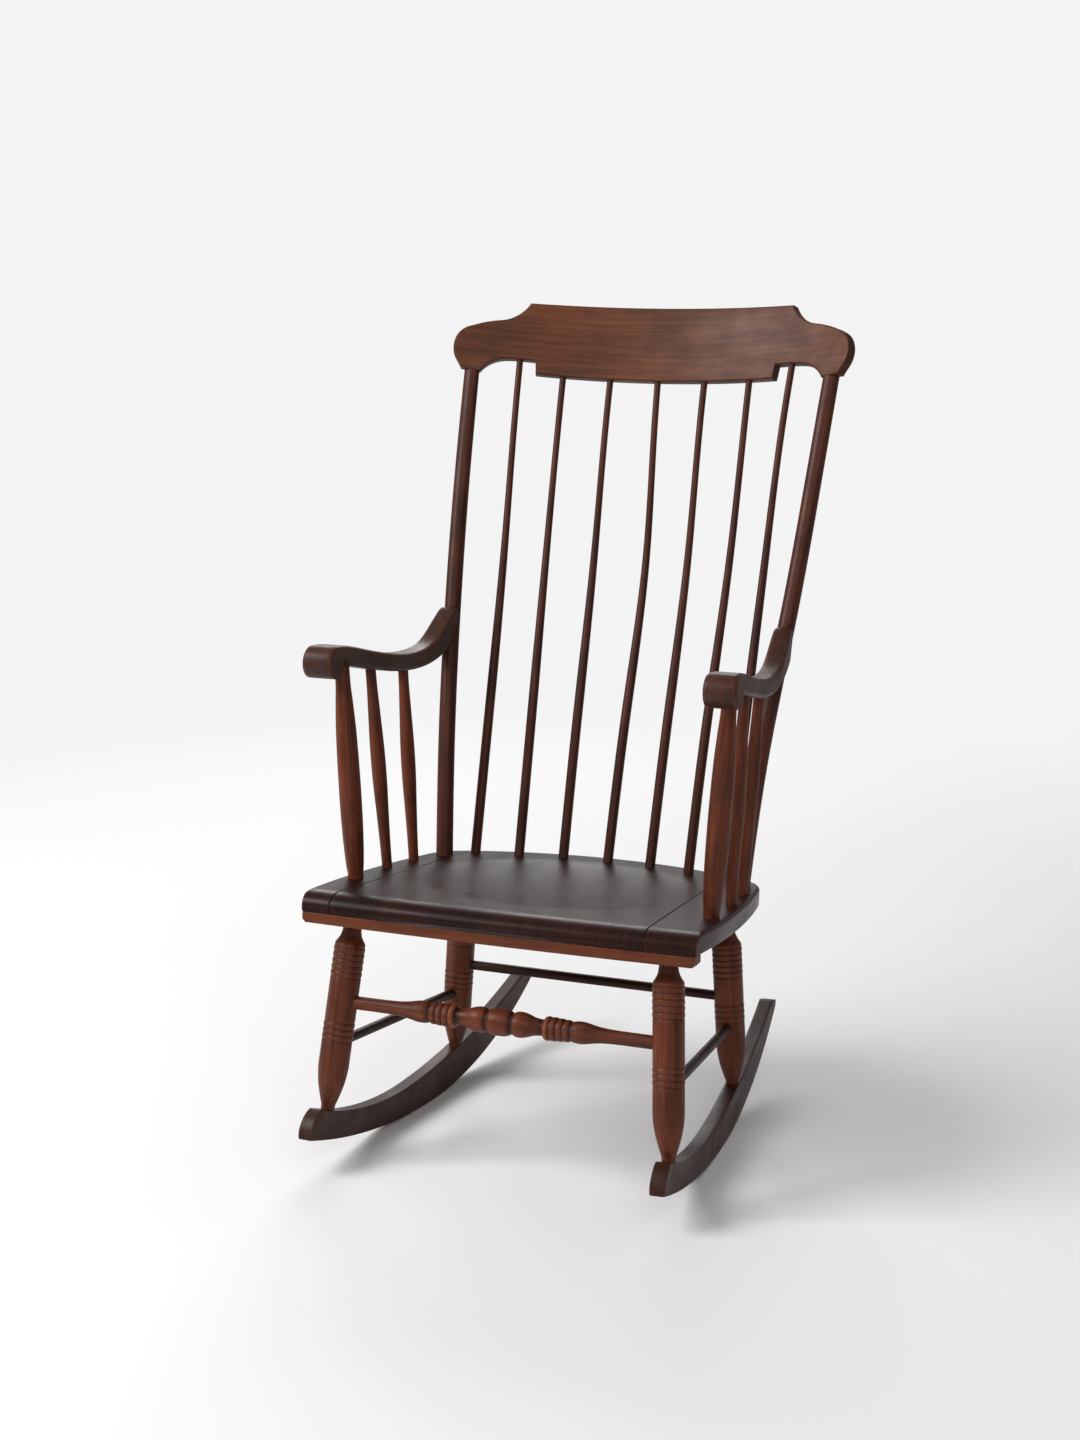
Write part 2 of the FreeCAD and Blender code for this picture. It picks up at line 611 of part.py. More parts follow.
def main():
    os.makedirs("parts", exist_ok=True)
    under, under_pairs, leg_bores = undercarriage()
    upper, upper_pairs, stick_bores = back_and_arms()
    parts = {**seat(leg_bores + stick_bores), **under, **upper}
    for name, shape in {**under_pairs, **upper_pairs}.items():
        parts[name + "_right"] = shape
        parts[name + "_left"] = mirrored(shape)
    for name, shape in parts.items():
        shape.translated(V(0, ORIGIN_SHIFT, 0)).exportStep("parts/" + name + ".step")


main()
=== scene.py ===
"""The looks of a rocking chair in walnut-stained wood with a satin varnish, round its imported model.

Shapes are worked out in millimetres in the maker's own frame, whose origin lies 5.67 mm in
front of the row frame's. skin() moves them there and turns them into metres.
"""

import math

import bpy
import numpy as np
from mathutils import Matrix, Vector

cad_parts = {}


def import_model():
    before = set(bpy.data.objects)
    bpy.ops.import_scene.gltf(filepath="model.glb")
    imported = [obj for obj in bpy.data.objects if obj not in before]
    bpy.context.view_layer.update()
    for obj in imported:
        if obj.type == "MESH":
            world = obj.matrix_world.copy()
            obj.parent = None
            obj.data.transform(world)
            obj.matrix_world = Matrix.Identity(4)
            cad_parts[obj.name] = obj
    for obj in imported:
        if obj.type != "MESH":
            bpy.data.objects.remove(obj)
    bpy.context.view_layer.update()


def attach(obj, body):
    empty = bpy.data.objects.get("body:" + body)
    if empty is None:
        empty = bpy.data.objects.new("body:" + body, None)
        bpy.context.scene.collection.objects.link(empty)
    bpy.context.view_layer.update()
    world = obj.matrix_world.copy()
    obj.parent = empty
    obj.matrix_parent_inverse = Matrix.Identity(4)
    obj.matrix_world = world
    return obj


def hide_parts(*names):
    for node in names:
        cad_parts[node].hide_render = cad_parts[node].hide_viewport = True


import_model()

AHEAD = np.array([0.0, -5.67, 0.0])
MILLIMETRE = 0.001
SHARP_ANGLE = math.radians(38)
NEXT_LOG = np.array([0.61, 0.37, 1.3])  # metres from one log's grain pattern to the next one's

# Seat, in its own tilted frame: x across, v back from the front edge, w up from the flat upper face
SEAT_ORIGIN = np.array([0.0, -292.0, 363.2])
SEAT_TILT = math.radians(4.7)
SEAT_DEPTH = 441.0
SEAT_THICKNESS = 26.0
CORNER_RADIUS = 75.0
DISH_CENTRE = 233.0
DISH_HALF_SIZE = (192.0, 163.0)
DISH_DEPTH = 9.0
DISH_EDGE = 0.10  # share of the dish's depth over which it fades into the flat
FRONT_ROLL = 18.0
FRONT_ROLL_LENGTH = 27.0
RIM_ROUND = 5.0
UNDER_ROUND = 3.0
LEFT_JOINT = (-226.0, -195.73)  # x at the front line and at the full depth
RIGHT_JOINT = (199.0, 174.53)
JOINT_ROUND = 1.0
JOINT_GAP = 0.35
WIDEST_V = 330.0  # behind it the rim turns inwards
STRIP_DEPTH = 22.0
STRIP_BOTTOM = -40.0

# Crest, bent about an upright axis and leaning back
CREST_BEND = 690.0
CREST_THICKNESS = 16.0
CREST_LEAN = math.radians(20.8)
CREST_CENTRE = np.array([0.0, 321.8, 1040.0])

# Legs and rockers
FRONT_FOOT = np.array([233.8, -287.0, 70.0])
FRONT_NECK = np.array([213.6, -237.7, 333.0])
REAR_FOOT = np.array([207.5, 55.0, 48.0])
REAR_NECK = np.array([191.0, 57.6, 309.0])
LEG_RADIUS = 20.3
GROOVE_DEPTH = 0.4
RING_PITCH = 8.0
RING_DEPTH = 1.1
LOWER_RINGS_AT = 96.0
LOWER_RINGS, UPPER_RINGS = 3, 5
SCRIBE_REACH = 34.0  # how far up a leg the cut of its foot is evened out
ROCKER_THICKNESS = 20.0
ROCKER_CONTACT = 254.0
ROCKER_FRONT_RADIUS = 958.0
ROCKER_REAR_RADIUS = 567.0

# Stretchers: heights of their centres in the legs, and how deep they enter
FRONT_STRETCHER_Z = 213.7
REAR_STRETCHER_Z = 175.8
SIDE_STRETCHER_Z = (159.1, 135.6)
PLAIN_RADIUS = 6.6
TENON = 8.0

# Centre lines of the sticks: foot on the seat, points between, head in the crest
POST_LINE = ((217.0, 46.0), (228.5, 82.0, 500.0), (247.0, 151.0, 700.0), (257.5, 204.5, 850.0),
             (265.6, -63.2))
SPINDLE_LINES = (
    ((187.6, 87.0), (188.5, 138.0, 520.0), (193.2, 207.0, 750.0), (199.8, 267.0, 955.0), (202.5, -39.0)),
    ((125.5, 98.0), (129.5, 154.0, 520.0), (136.6, 228.0, 750.0), (138.6, 280.0, 935.0), (139.0, -58.4)),
    ((64.5, 113.0), (67.0, 172.0, 520.0), (70.0, 246.0, 750.0), (70.3, 289.5, 930.0), (70.4, -58.0)),
    ((0.0, 119.0), (2.0, 180.0, 520.0), (5.0, 253.0, 740.0), (1.5, 294.0, 930.0), (0.0, -57.5)),
)
ARM_POST_LINE = ((246.0, -171.0), (264.4, -165.6, 640.0))
ARM_SPINDLE_LINES = {"front": ((243.6, -82.0), (259.6, -92.0, 621.0)),
                     "rear": ((237.0, -12.5), (252.6, -7.0, 606.0))}

# Arms: x of the inner and the outer face at the scroll's tip, and how they draw in towards the post
SCROLL_TIP = -228.0
ARM_FACES = ((248.5, 0.0467), (292.5, 0.1008))
ARM_ROUND = 6.0

SIDES = (("right", False), ("left", True))


# Curves

def unit(vectors):
    return vectors / np.linalg.norm(vectors, axis=-1, keepdims=True)


def eased(knots, at):
    """Curve through (place, value) knots that never overshoots: cubic pieces, whose slope at
    a knot is the harmonic mean of the slopes on its two sides, or nought at a turning point."""
    x, y = np.array(knots, float).T
    step = np.diff(x)
    slope = np.diff(y) / step
    total = slope[:-1] + slope[1:]
    rising = slope[:-1] * slope[1:] > 0
    inner = np.where(rising, 2 * slope[:-1] * slope[1:] / np.where(rising, total, 1.0), 0.0)
    tangent = np.concatenate([slope[:1], inner, slope[-1:]])
    i = np.clip(np.searchsorted(x, at, side="right") - 1, 0, len(x) - 2)
    u = (at - x[i]) / step[i]
    return ((1 + 2 * u) * (1 - u) ** 2 * y[i] + u * (1 - u) ** 2 * step[i] * tangent[i]
            + u * u * (3 - 2 * u) * y[i + 1] + u * u * (u - 1) * step[i] * tangent[i + 1])


def bent_line(points, count):
    """Natural cubic spline through the points, by the lengths of its chords, and its directions."""
    points = np.array(points, float)
    place = np.concatenate([[0.0], np.cumsum(np.linalg.norm(np.diff(points, axis=0), axis=1))])
    h = np.diff(place)
    n = len(points)
    system = np.eye(n)
    right = np.zeros_like(points)
    for k in range(1, n - 1):
        system[k, k - 1:k + 2] = h[k - 1], 2 * (h[k - 1] + h[k]), h[k]
        right[k] = 6 * ((points[k + 1] - points[k]) / h[k] - (points[k] - points[k - 1]) / h[k - 1])
    bend = np.linalg.solve(system, right)
    at = np.linspace(0, place[-1], count)
    i = np.clip(np.searchsorted(place, at, side="right") - 1, 0, n - 2)
    a, b = ((place[i + 1] - at) / h[i])[:, None], ((at - place[i]) / h[i])[:, None]
    curved = ((a ** 3 - a) * bend[i] + (b ** 3 - b) * bend[i + 1]) * h[i, None] ** 2 / 6
    line = a * points[i] + b * points[i + 1] + curved
    return line, unit(np.gradient(line, axis=0)), at


def arc(start, through, end, count):
    """Points evenly spaced on the circle through three points of a plane."""
    start, through, end = (np.array(p, float) for p in (start, through, end))
    lines = 2 * np.array([through - start, end - start])
    sums = np.array([through @ through - start @ start, end @ end - start @ start])
    centre = np.linalg.solve(lines, sums)
    first, middle, last = (math.atan2(*(p - centre)[::-1]) for p in (start, through, end))
    middle, last = ((angle - first) % (2 * math.pi) for angle in (middle, last))
    sweep = last if middle < last else last - 2 * math.pi
    turn = first + np.linspace(0, sweep, count)
    return centre + np.linalg.norm(start - centre) * np.stack([np.cos(turn), np.sin(turn)], axis=1)


def joined(*runs):
    """One line from runs of points, each point once."""
    line = np.concatenate([np.array(run, float) for run in runs])
    keep = np.concatenate([[True], np.linalg.norm(np.diff(line, axis=0), axis=1) > 1e-6])
    return line[keep]


def spread(line, count):
    """The line again with a given number of points, evenly spaced along it."""
    place = np.concatenate([[0.0], np.cumsum(np.linalg.norm(np.diff(line, axis=0), axis=1))])
    at = np.linspace(0, place[-1], count)
    return np.stack([np.interp(at, place, line[:, k]) for k in range(line.shape[1])], axis=1)


# Surfaces: grids of points, rows along the piece and columns round it

def round_bar(centres, ways, radius, depth, around):
    """Ellipses of half-widths radius and depth, square to a centre line, one after the other."""
    across = unit(np.cross((0.0, 1.0, 0.0), ways))
    facing = np.cross(ways, across)
    turn = np.linspace(0, 2 * math.pi, around, endpoint=False)
    return (centres[:, None] + (radius[:, None] * np.cos(turn))[..., None] * across[:, None]
            + (depth[:, None] * np.sin(turn))[..., None] * facing[:, None])


def sawn_bar(upper, lower, near, far, round_edge, corner=5, straight=3):
    """A plank between an upper and a lower line: at each pair of points the section is a rectangle
    from near to far with quarter-circle corners, given as (p, q, depth). Also how much each point is rubbed."""
    reach = upper - lower
    half = (np.linalg.norm(reach, axis=1) / 2)[:, None]
    wide = ((far - near) / 2)[:, None]
    r = np.minimum(np.minimum(round_edge, half * 0.96), wide * 0.96)
    quarter = np.linspace(math.pi / 2, 0, corner)
    side = np.linspace(-1, 1, straight + 2)[1:-1]
    flat = np.ones_like(side)
    sine, cosine = r * np.sin(quarter), r * np.cos(quarter)
    tall, deep = half - r, wide - r
    runs = [(tall + sine, deep + cosine), (tall * -side, wide * flat),
            (-tall - cosine, deep + sine), (-half * flat, deep * -side),
            (-tall - sine, -deep - cosine), (tall * side, -wide * flat),
            (tall + cosine, -deep - sine), (half * flat, deep * side)]
    lift, depth = (np.concatenate(part, axis=1) for part in zip(*runs))
    share = lift / np.maximum(2 * half, 1e-9) + 0.5
    flat_place = lower[:, None] + reach[:, None] * share[..., None]
    grid = np.concatenate([flat_place, (depth + ((near + far) / 2)[:, None])[..., None]], axis=2)
    corners = np.concatenate([np.sin(2 * quarter), 0 * side] * 4)
    return grid, np.where(share > 0.4, corners, 0)


def skin(name, grid, grain, wear_and_shade, finish, nodes, log):
    """Closes the grid with a point at each end, faces outwards, and makes it a finished piece.
    grain holds each point's place in its own length of timber, wear_and_shade how much hands and feet rub it
    and, through a finish's hollow_shade, where its low values get painted shade, and log says which log's
    grain pattern it has."""
    rows, around = grid.shape[:2]
    ends = [grid[0].mean(axis=0), grid[-1].mean(axis=0)]
    points = (np.concatenate([grid.reshape(-1, 3), ends]) + AHEAD) * MILLIMETRE
    i, j = np.meshgrid(np.arange(rows - 1), np.arange(around), indexing="ij")
    after = (j + 1) % around
    quads = np.stack([i * around + j, (i + 1) * around + j, (i + 1) * around + after, i * around + after], -1)
    quads = quads.reshape(-1, 4)
    turn = np.arange(around)
    following = (turn + 1) % around
    first, last = rows * around, rows * around + 1
    base = (rows - 1) * around
    fans = np.concatenate([np.stack([np.full(around, first), turn, following], 1),
                           np.stack([np.full(around, last), base + following, base + turn], 1)])
    triangles = np.concatenate([quads[:, :3], quads[:, [0, 2, 3]], fans])
    a, b, c = (points[triangles[:, k]] for k in range(3))
    if np.einsum("ij,ij->", a, np.cross(b, c)) < 0:
        quads, fans = quads[:, ::-1], fans[:, ::-1]
    mesh = bpy.data.meshes.new(name)
    mesh.from_pydata(points.tolist(), [], quads.tolist() + fans.tolist())
    mesh.polygons.foreach_set("use_smooth", np.ones(len(mesh.polygons), bool))
    mesh.set_sharp_from_angle(angle=SHARP_ANGLE)

    def kept(title, kind, values, field):
        values = np.broadcast_to(values, grid.shape if kind == "FLOAT_VECTOR" else grid.shape[:2])
        both = [values[0].mean(axis=0, keepdims=True), values[-1].mean(axis=0, keepdims=True)]
        flat = values.reshape((rows * around,) + values.shape[2:])
        data = np.concatenate([flat] + both).astype(np.float32)
        mesh.attributes.new(title, kind, "POINT").data.foreach_set(field, data.ravel())

    kept("timber", "FLOAT_VECTOR", grain * MILLIMETRE + NEXT_LOG * log, "vector")
    kept("wear_and_shade", "FLOAT", wear_and_shade, "value")
    piece = bpy.data.objects.new(name, mesh)
    bpy.context.scene.collection.objects.link(piece)
    mesh.materials.append(finish)
    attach(piece, "root")
    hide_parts(*nodes)


def sided(grid, flip):
    """The grid, or its mirror image on the chair's left."""
    return grid * np.array([-1.0, 1.0, 1.0]) if flip else grid


# Places

def on_seat(x, v, w):
    """From the seat's own tilted frame to the maker's frame."""
    y = SEAT_ORIGIN[1] + v * math.cos(SEAT_TILT) + w * math.sin(SEAT_TILT)
    z = SEAT_ORIGIN[2] - v * math.sin(SEAT_TILT) + w * math.cos(SEAT_TILT)
    return np.stack([x + 0 * y, y, z], axis=-1)


def seat_height(y):
    return SEAT_ORIGIN[2] - (y - SEAT_ORIGIN[1]) * math.tan(SEAT_TILT)


def on_crest(s, v, depth):
    """Place on the bent crest: s along its front face, v up from its middle, depth from the front face."""
    radius = CREST_BEND + depth
    back = radius * np.cos(s / CREST_BEND) - CREST_BEND
    y = back * math.cos(CREST_LEAN) + v * math.sin(CREST_LEAN)
    z = -back * math.sin(CREST_LEAN) + v * math.cos(CREST_LEAN)
    return CREST_CENTRE + np.stack([radius * np.sin(s / CREST_BEND), y, z], axis=-1)


def seat_foot(x, y):
    return np.array([x, y, seat_height(y)])


def back_line(line):
    """Points of a stick's centre line: foot on the seat, the given ones, head in the crest."""
    foot, *between, (s, v) = line
    head = on_crest(np.array(s), np.array(v), np.array(CREST_THICKNESS / 2))
    head[0] = s
    return [seat_foot(*foot)] + [np.array(p) for p in between] + [head]


def running_edge(s):
    """Height of the running edge: two arcs that meet at the lowest point."""
    radius = np.where(s < ROCKER_CONTACT, ROCKER_FRONT_RADIUS, ROCKER_REAR_RADIUS)
    return radius - np.sqrt(radius ** 2 - (s - ROCKER_CONTACT) ** 2)


NOSE = arc((-55.5, 51.4), (-46, 72.7), (-26, 83.3), 24)
UPPER_EDGE = joined(arc((-26, 83.3), (100, 48.3), (200, 42.2), 40),
                    arc((200, 42.2), (400, 67), (549, 109.5), 50))
TAIL = np.array([(549, 109.5), (577, 100.9)])
ROCKER_TOP = joined(NOSE, UPPER_EDGE, TAIL)
ROCKER_ALONG = unit((REAR_FOOT - FRONT_FOOT) * np.array([1.0, 1.0, 0.0]))
ROCKER_ACROSS = np.cross((0.0, 0.0, 1.0), ROCKER_ALONG)


def rocker_top(points):
    """Height of the rocker's upper edge at the places of any points."""
    s = (points - FRONT_FOOT) @ ROCKER_ALONG
    return np.interp(s, ROCKER_TOP[:, 0], ROCKER_TOP[:, 1])


# Finishes

class Value:
    """A socket whose operators add Math nodes."""

    def __init__(self, graph, socket):
        self.graph, self.socket = graph, socket

    def math(self, operation, other):
        return self.graph.node("ShaderNodeMath", {"operation": operation}, (self, other))

    def __add__(self, other):
        return self.math("ADD", other)

    def __sub__(self, other):
        return self.math("SUBTRACT", other)

    def __mul__(self, other):
        return self.math("MULTIPLY", other)

    __rmul__ = __mul__


class Graph:
    """The nodes of a material or a world: node() adds one and gives its first, or a named, output."""

    def __init__(self, owner):
        owner.use_nodes = True
        self.nodes = owner.node_tree.nodes
        self.links = owner.node_tree.links
        self.nodes.clear()

    def node(self, kind, settings=None, values=(), output=0):
        made = self.nodes.new(kind)
        for name, setting in (settings or {}).items():
            setattr(made, name, setting)
        for key, value in values.items() if isinstance(values, dict) else enumerate(values):
            if isinstance(value, Value):
                self.links.new(value.socket, made.inputs[key])
            else:
                made.inputs[key].default_value = value
        return Value(self, made.outputs[output]) if made.outputs else None

    def scaled(self, vector, scale):
        return self.node("ShaderNodeVectorMath", {"operation": "MULTIPLY"}, (vector, scale))

    def noise(self, vector, scale, detail, roughness, distortion=0.0):
        return self.node("ShaderNodeTexNoise", {"noise_dimensions": "3D"},
                         {"Vector": vector, "Scale": scale, "Detail": detail, "Roughness": roughness,
                          "Distortion": distortion}, output="Fac")

    def between(self, value, low, high, to_low=0.0, to_high=1.0):
        """The value taken from one range to another and held there."""
        return self.node("ShaderNodeMapRange", {"clamp": True, "interpolation_type": "SMOOTHSTEP"},
                         (value, low, high, to_low, to_high))

    def blend(self, amount, first, second):
        """Colour mixed from two, held between them."""
        return self.node("ShaderNodeMix", {"data_type": "RGBA", "blend_type": "MIX", "clamp_factor": True},
                         {0: amount, 6: first, 7: second}, output=2)


def tone(red, green, blue):
    """A colour as it looks on a screen, turned to the light it stands for."""
    light = [((c / 255 + 0.055) / 1.055) ** 2.4 if c > 10 else c / 255 / 12.92 for c in (red, green, blue)]
    return (*light, 1.0)


def stained_wood(name, deep, body, bright, rubbed, figure=1.0, gloss=0.42, wear=0.5, coat=0.03, shine=0.2,
                 hollow_shade=0.0):
    """Walnut stain over close-grained wood under satin varnish. Growth rings run as slow waves across
    the timber, fibres and pores as noise drawn out along it; the stain lies in soft darker clouds and is
    rubbed through to a warmer brown where wear_and_shade is high. Where it is low, hollow_shade lays the deep
    colour on as painted shade."""
    deep, body, bright, rubbed = (tone(*colour) for colour in (deep, body, bright, rubbed))
    material = bpy.data.materials.new(name)
    f = Graph(material)
    timber = f.node("ShaderNodeAttribute", {"attribute_name": "timber"}, output="Vector")
    wear_and_shade = f.node("ShaderNodeAttribute", {"attribute_name": "wear_and_shade"}, output="Fac")
    slow = f.noise(f.scaled(timber, (1.0, 1.0, 0.3)), 16.0, 4.0, 0.55, 0.8)
    wave = f.node("ShaderNodeTexWave", {"wave_type": "BANDS", "bands_direction": "X", "wave_profile": "SIN"},
                  {"Vector": f.scaled(timber, (1.0, 0.6, 0.08)), "Scale": 24.0, "Distortion": 9.0,
                   "Detail": 4.0, "Detail Scale": 1.6, "Detail Roughness": 0.6}, output="Fac")
    fibre = f.noise(f.scaled(timber, (1.0, 1.0, 0.025)), 560.0, 4.0, 0.62)
    streak = f.noise(f.scaled(timber, (1.0, 1.0, 0.05)), 190.0, 4.0, 0.6)
    pore = f.between(f.noise(f.scaled(timber, (1.0, 1.0, 0.05)), 1400.0, 2.0, 0.5), 0.62, 0.72)
    cloud = f.noise(f.scaled(timber, (1.0, 1.0, 0.7)), 17.0, 5.0, 0.62)
    speck = f.between(f.noise(timber, 240.0, 2.0, 0.6), 0.66, 0.74)

    grain = 0.07 * wave + 0.43 * streak + 0.5 * fibre
    rub = f.between(wear_and_shade * 0.7 + streak * 0.5 + cloud * 0.9, 0.95, 1.6, 0.0, 0.9 * wear)
    colour = f.blend(f.between(slow, 0.25, 0.7, 0.35, 1.0), deep, body)
    colour = f.blend(f.between(grain, 0.36, 0.68) * (0.5 * figure), colour, bright)
    colour = f.blend(f.between(cloud, 0.42, 0.66, 0.0, 0.62), colour, deep)
    colour = f.blend(rub, colour, rubbed)
    # Painted shade: the deep colour laid in where wear_and_shade is low, as strongly as hollow_shade says
    colour = f.blend(f.between(wear_and_shade, 0.02, 0.42, hollow_shade, 0.0), colour, deep)
    colour = f.blend(pore * (0.5 * figure), colour, deep)
    colour = f.blend(speck * 0.3, colour, deep)

    roughness = f.between(cloud, 0.3, 0.7, gloss - 0.05, gloss + 0.09) + fibre * 0.06
    height = fibre * 0.5 + streak * 0.5 - pore * 0.6
    bump = f.node("ShaderNodeBump", {}, {"Strength": 0.16, "Distance": 0.0006, "Height": height})
    shader = f.node("ShaderNodeBsdfPrincipled", {}, {
        "Base Color": colour, "Roughness": roughness, "Normal": bump, "IOR": 1.5,
        "Specular IOR Level": shine, "Coat Weight": coat, "Coat Roughness": 0.2, "Coat IOR": 1.5})
    f.node("ShaderNodeOutputMaterial", {}, (shader,))
    return material


# Screen colours of the dark stain (also the colour of the painted shade), the body, the brighter figure and
# the rubbed wood
SEAT_FINISH = stained_wood("seat walnut, darkened by use", (20, 9, 8), (42, 21, 18), (68, 38, 31),
                           (92, 52, 38), figure=0.9, gloss=0.3, coat=0.02, shine=0.12)
STRIP_FINISH = stained_wood("strip walnut", (72, 33, 17), (102, 50, 27), (124, 66, 38), (144, 84, 52))
# hollow_shade here paints shade along the middle of the crest's narrow edges and ends
CREST_FINISH = stained_wood("crest walnut", (58, 29, 18), (100, 54, 34), (132, 80, 52), (142, 90, 60),
                            hollow_shade=0.9)
STICK_FINISH = stained_wood("stick walnut", (38, 16, 11), (74, 34, 22), (106, 54, 33), (124, 68, 41))
ARM_FINISH = stained_wood("arm walnut", (36, 20, 16), (66, 38, 29), (94, 57, 43), (116, 68, 46), wear=0.3)
# hollow_shade here paints shade in the hollows between the turnings' beads
TURNED_FINISH = stained_wood("turned walnut", (40, 15, 9), (97, 45, 26), (142, 74, 43), (152, 84, 51),
                             figure=0.8, wear=0.7, hollow_shade=0.85)
ROUND_FINISH = stained_wood("dark round walnut", (26, 12, 9), (48, 23, 16), (74, 38, 26), (92, 52, 34))
ROCKER_FINISH = stained_wood("rocker walnut", (30, 15, 11), (56, 31, 22), (82, 48, 34), (98, 60, 42))


# Turned pieces

def standing_out(along, radius):
    """How far each place stands out from the run of the turning round it: 1 on a bead, 0 in a hollow."""
    even = np.linspace(along[0], along[-1], 900)
    reach = 30
    bell = np.exp(-0.5 * np.linspace(-3, 3, 2 * reach + 1) ** 2)
    padded = np.pad(np.interp(even, along, radius), reach, mode="edge")
    mean = np.convolve(padded, bell / bell.sum(), mode="valid")
    return np.clip((radius - np.interp(along, even, mean)) / 2.2 + 0.45, 0, 1)


def turned_piece(name, along, radius, foot, head, nodes, log, around=48, scribe=False,
                 finish=TURNED_FINISH, flip=False):
    """Surface of revolution about the line from foot to head: foot + a way + radius(a) (cos t across
    + sin t facing). A scribed foot starts where it meets the rocker."""
    way = unit(head - foot)
    across = unit(np.cross(way, (0.0, 1.0, 0.0)))
    facing = np.cross(way, across)
    turn = np.linspace(0, 2 * math.pi, around, endpoint=False)
    ring = np.cos(turn)[:, None] * across + np.sin(turn)[:, None] * facing
    place = np.broadcast_to(along[:, None], (len(along), around)).copy()
    if scribe:
        start = np.zeros(around)
        for _ in range(12):
            touch = foot + start[:, None] * way + np.interp(start, along, radius)[:, None] * ring
            start -= (touch[:, 2] - rocker_top(touch) - 0.03) / way[2]
        low = along[0]
        moved = start + (along[:, None] - low) * (SCRIBE_REACH - start) / (SCRIBE_REACH - low)
        place = np.where(along[:, None] < SCRIBE_REACH, moved, place)
    size = np.interp(place, along, radius)
    grid = foot + place[..., None] * way + size[..., None] * ring
    grain = np.stack([size * np.cos(turn), size * np.sin(turn), place], axis=-1)
    # 1 on the beads, which rub, 0 in the hollows, where TURNED_FINISH paints shade in the deep colour
    wear_and_shade = standing_out(along, radius)[:, None]
    skin(name, sided(grid, flip), grain, wear_and_shade, finish, nodes, log)


def rings(start, count):
    """Half-round beads side by side: places and radii, nine to a bead."""
    across = np.linspace(-1, 1, 9)
    fall = 1 - np.sqrt(1 - (0.985 * across) ** 2)
    places = [start + RING_PITCH * (k + 0.5 + 0.49 * across) for k in range(count)]
    return np.concatenate(places), np.tile(LEG_RADIUS - RING_DEPTH * fall / fall[0], count)


def leg_cuts(length, shoulder, neck_radius):
    """The leg's profile: ankle, body, two groups of beads and the vase under the seat."""
    upper = shoulder - UPPER_RINGS * RING_PITCH
    body = LEG_RADIUS - GROOVE_DEPTH
    ankle = [(-6, 8.6), (9, 9.0), (16, 11.0), (25, 13.6), (37, 16.8), (50, 18.9), (64, body), (94.5, body)]
    vase = [(shoulder + 1.5, body), (shoulder + 4, body - 0.7), (shoulder + 8, 16.6), (shoulder + 15, 13.3),
            (shoulder + 27, neck_radius + 0.6), (shoulder + 36, neck_radius), (length + 4, neck_radius)]
    low = np.concatenate([np.linspace(-6, 24, 22), np.linspace(25, 94.5, 20)])
    middle = np.array([121.5, 124, upper - 4, upper - 1.5])
    high = np.concatenate([np.linspace(shoulder + 1.5, shoulder + 30, 26),
                           np.linspace(shoulder + 32, length + 4, 8)])
    lower_rings, upper_rings = rings(LOWER_RINGS_AT, LOWER_RINGS), rings(upper, UPPER_RINGS)
    along = np.concatenate([low, lower_rings[0], middle, upper_rings[0], high])
    radius = np.concatenate([eased(ankle, low), lower_rings[1], np.full(4, body), upper_rings[1],
                             eased(vase, high)])
    return along, radius


def legs():
    ends = (("front", FRONT_FOOT, FRONT_NECK, 219.0, 11.0, 3), ("rear", REAR_FOOT, REAR_NECK, 199.0, 9.2, 5))
    for where, foot, neck, shoulder, neck_radius, log in ends:
        along, radius = leg_cuts(np.linalg.norm(neck - foot), shoulder, neck_radius)
        for side, flip in SIDES:
            name = "leg_%s_%s" % (where, side)
            turned_piece("turned_" + name, along, radius, foot, neck, [name], log + flip,
                         around=56, scribe=True, flip=flip)


def at_height(foot, head, z):
    return foot + (head - foot) * ((z - foot[2]) / (head[2] - foot[2]))


def stretchers():
    """Turned front stretcher about its ball, and the plain rounds at the sides and the back."""
    end = at_height(FRONT_FOOT, FRONT_NECK, FRONT_STRETCHER_Z)
    half = [(0, 17.6), (5, 17.5), (11, 16.3), (15, 14.4), (17.5, 13.4), (19, 14.2), (22, 15.8), (27, 16.4),
            (33, 15.7), (39, 14.0), (46, 11.7), (52, 10.7), (57, 10.4), (60, 11.2), (61.2, 14.0),
            (64.5, 15.5), (67.2, 15.0), (68.5, 13.9), (69.8, 14.8), (73, 15.1), (76.2, 14.7), (77.5, 13.5),
            (78.8, 14.2), (82, 14.6), (85.2, 14.1), (86.5, 13.0), (87.8, 13.6), (91, 13.9), (93.5, 13.5),
            (96.5, 12.2), (100, 13.2), (106, 14.0), (112, 13.8), (122, 12.0), (134, 10.0), (148, 9.0),
            (162, 8.7), (end[0] - TENON, 8.6)]
    knots = [(-a, r) for a, r in half[:0:-1]] + half
    right = np.concatenate([np.linspace(0, 124, 190), np.linspace(127, end[0] - TENON, 20)])
    along = np.concatenate([-right[:0:-1], right])
    middle = end * np.array([0.0, 1.0, 1.0])
    turned_piece("turned_front_stretcher", along, eased(knots, along), middle, middle + (1.0, 0, 0),
                 ["front_stretcher"], 11)

    end = at_height(REAR_FOOT, REAR_NECK, REAR_STRETCHER_Z)
    along = np.linspace(TENON - end[0], end[0] - TENON, 40)
    middle = end * np.array([0.0, 1.0, 1.0])
    turned_piece("round_rear_stretcher", along, np.full(40, PLAIN_RADIUS), middle, middle + (1.0, 0, 0),
                 ["rear_stretcher"], 13, around=32, finish=ROUND_FINISH)

    front = at_height(FRONT_FOOT, FRONT_NECK, SIDE_STRETCHER_Z[0])
    back = at_height(REAR_FOOT, REAR_NECK, SIDE_STRETCHER_Z[1])
    along = np.linspace(TENON, np.linalg.norm(back - front) - TENON, 30)
    for side, flip in SIDES:
        turned_piece("round_side_stretcher_" + side, along, np.full(30, PLAIN_RADIUS), front, back,
                     ["side_stretcher_" + side], 15 + flip, around=32, finish=ROUND_FINISH, flip=flip)


